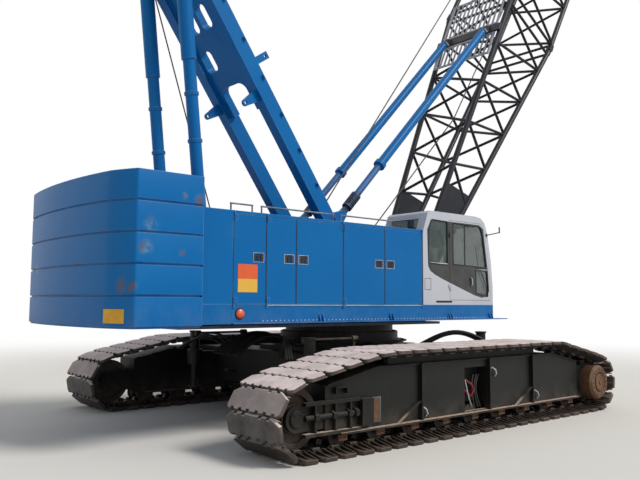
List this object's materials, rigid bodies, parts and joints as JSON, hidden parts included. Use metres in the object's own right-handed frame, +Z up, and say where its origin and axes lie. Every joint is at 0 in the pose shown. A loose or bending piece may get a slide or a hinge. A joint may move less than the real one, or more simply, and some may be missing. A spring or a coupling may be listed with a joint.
{
  "type": "crawler crane",
  "caption": "Crawler crane with a lattice boom, box-legged gantry mast, round-tailed counterweight, machine house with side doors and a cab on its right.",
  "frame": {"origin": "on the ground under the slew axis, midway between the tracks", "axes": "+X forward towards the boom and cab, +Y to the machine's left, +Z up"},
  "size_m": [16.6713, 6.25, 18.0541],
  "materials": {
    "frame_black": "dull black paint with dirt",
    "shoe_steel": "bare worn steel, dry mud",
    "drive_brown": "rusty brown casting",
    "deck_blue": "satin blue paint, worn",
    "engine_grey": "dull grey",
    "cab_grey": "satin light grey paint",
    "window_glass": "dark tinted glass",
    "seat_black": "dull black",
    "rail_grey": "satin grey paint",
    "lamp_orange": "orange lens",
    "boom_black": "satin black paint",
    "stay_steel": "greased wire and bars",
    "hook_yellow": "worn yellow paint"
  },
  "bodies": {
    "undercarriage": {"carbody": "frame_black", "slew_ring": "frame_black", "frame_right": "frame_black", "frame_left": "frame_black", "track_right": "shoe_steel", "track_left": "shoe_steel", "idlers": "frame_black", "sprockets": "frame_black", "drives": "drive_brown", "rollers": "frame_black", "jacks": "frame_black"},
    "upper": {"upper_frame": "deck_blue", "sill_right": "deck_blue", "sill_left": "deck_blue", "weight_1": "deck_blue", "weight_2": "deck_blue", "weight_3": "deck_blue", "weight_4": "deck_blue", "weight_5": "deck_blue", "house_right": "deck_blue", "house_left": "deck_blue", "winches": "frame_black", "engine": "engine_grey", "cab_shell": "cab_grey", "cab_glass": "window_glass", "cab_seat": "seat_black", "mirror": "frame_black", "handrails": "rail_grey", "lamps": "lamp_orange", "mast": "deck_blue", "rear_legs": "deck_blue", "gantry_sheaves": "frame_black"},
    "boom": {"boom_base": "boom_black", "boom_head": "boom_black", "boom_sheaves": "boom_black", "boom_walkway": "boom_black"},
    "backstop_tube": {"backstop_tubes": "deck_blue"},
    "backstop_rod": {"backstop_rods": "deck_blue"},
    "stays": {"main_stays": "stay_steel"},
    "hook": {"hook_falls": "stay_steel", "hook_block": "hook_yellow"},
    "cab_door": {"cab_door": "cab_grey", "door_glass": "window_glass"},
    "door_right_1": {"door_right_1": "deck_blue"},
    "door_right_2": {"door_right_2": "deck_blue"},
    "door_right_3": {"door_right_3": "deck_blue"},
    "door_right_4": {"door_right_4": "deck_blue"},
    "door_right_5": {"door_right_5": "deck_blue"},
    "door_left_1": {"door_left_1": "deck_blue"},
    "door_left_2": {"door_left_2": "deck_blue"},
    "door_left_3": {"door_left_3": "deck_blue"},
    "door_left_4": {"door_left_4": "deck_blue"},
    "door_left_5": {"door_left_5": "deck_blue"}
  },
  "joints": [
    {"name": "slew", "type": "hinge", "parent": "undercarriage", "child": "upper", "pos_m": [0, 0, 1.5], "axis": [0, 0, 1], "continuous": true},
    {"name": "boom_luff", "type": "hinge", "parent": "upper", "child": "boom", "pos_m": [1.472, 0, 2.08], "axis": [0, -1, 0], "range_deg": [-29.6, 20.4]},
    {"name": "backstop_swing", "type": "hinge", "parent": "boom", "child": "backstop_tube", "pos_m": [3.74149, 0, 7.78607], "axis": [0, -1, 0], "range_deg": [-2, 2]},
    {"name": "backstop_slide", "type": "slide", "parent": "backstop_tube", "child": "backstop_rod", "axis": [-0.6892, 0, -0.7246], "range_m": [-0.79, 1.15]},
    {"name": "stay_swing", "type": "hinge", "parent": "boom", "child": "stays", "pos_m": [10.4433, 0, 17.96406], "axis": [0, -1, 0], "range_deg": [-2, 2]},
    {"name": "hook_swing", "type": "hinge", "parent": "boom", "child": "hook", "pos_m": [11.24993, 0, 17.56038], "axis": [0, -1, 0], "range_deg": [-20.5, 29.7]},
    {"name": "cab_door", "type": "hinge", "parent": "upper", "child": "cab_door", "pos_m": [1.162, -1.612, 2.6], "axis": [0, 0, -1], "range_deg": [0, 90]},
    {"name": "door_right_1_hinge", "type": "hinge", "parent": "upper", "child": "door_right_1", "pos_m": [-3.349, -1.612, 2.45], "axis": [0, 0, -1], "range_deg": [0, 90]},
    {"name": "door_right_2_hinge", "type": "hinge", "parent": "upper", "child": "door_right_2", "pos_m": [-2.801, -1.612, 2.45], "axis": [0, 0, -1], "range_deg": [0, 90]},
    {"name": "door_right_3_hinge", "type": "hinge", "parent": "upper", "child": "door_right_3", "pos_m": [-1.374, -1.612, 2.45], "axis": [0, 0, 1], "range_deg": [0, 90]},
    {"name": "door_right_4_hinge", "type": "hinge", "parent": "upper", "child": "door_right_4", "pos_m": [-1.35, -1.612, 2.45], "axis": [0, 0, -1], "range_deg": [0, 90]},
    {"name": "door_right_5_hinge", "type": "hinge", "parent": "upper", "child": "door_right_5", "pos_m": [0.434, -1.612, 2.45], "axis": [0, 0, 1], "range_deg": [0, 90]},
    {"name": "door_left_1_hinge", "type": "hinge", "parent": "upper", "child": "door_left_1", "pos_m": [-3.349, 1.612, 2.45], "axis": [0, 0, 1], "range_deg": [0, 90]},
    {"name": "door_left_2_hinge", "type": "hinge", "parent": "upper", "child": "door_left_2", "pos_m": [-2.801, 1.612, 2.45], "axis": [0, 0, 1], "range_deg": [0, 90]},
    {"name": "door_left_3_hinge", "type": "hinge", "parent": "upper", "child": "door_left_3", "pos_m": [-1.374, 1.612, 2.45], "axis": [0, 0, -1], "range_deg": [0, 90]},
    {"name": "door_left_4_hinge", "type": "hinge", "parent": "upper", "child": "door_left_4", "pos_m": [-1.35, 1.612, 2.45], "axis": [0, 0, 1], "range_deg": [0, 90]},
    {"name": "door_left_5_hinge", "type": "hinge", "parent": "upper", "child": "door_left_5", "pos_m": [0.434, 1.612, 2.45], "axis": [0, 0, -1], "range_deg": [0, 90]}
  ],
  "couplings": [
    {"joint": "backstop_swing", "follows": "boom_luff", "ratio": -0.06},
    {"joint": "backstop_slide", "follows": "boom_luff", "m_per_rad": -2.2},
    {"joint": "stay_swing", "follows": "boom_luff", "ratio": -0.06},
    {"joint": "hook_swing", "follows": "boom_luff", "ratio": -1}
  ]
}
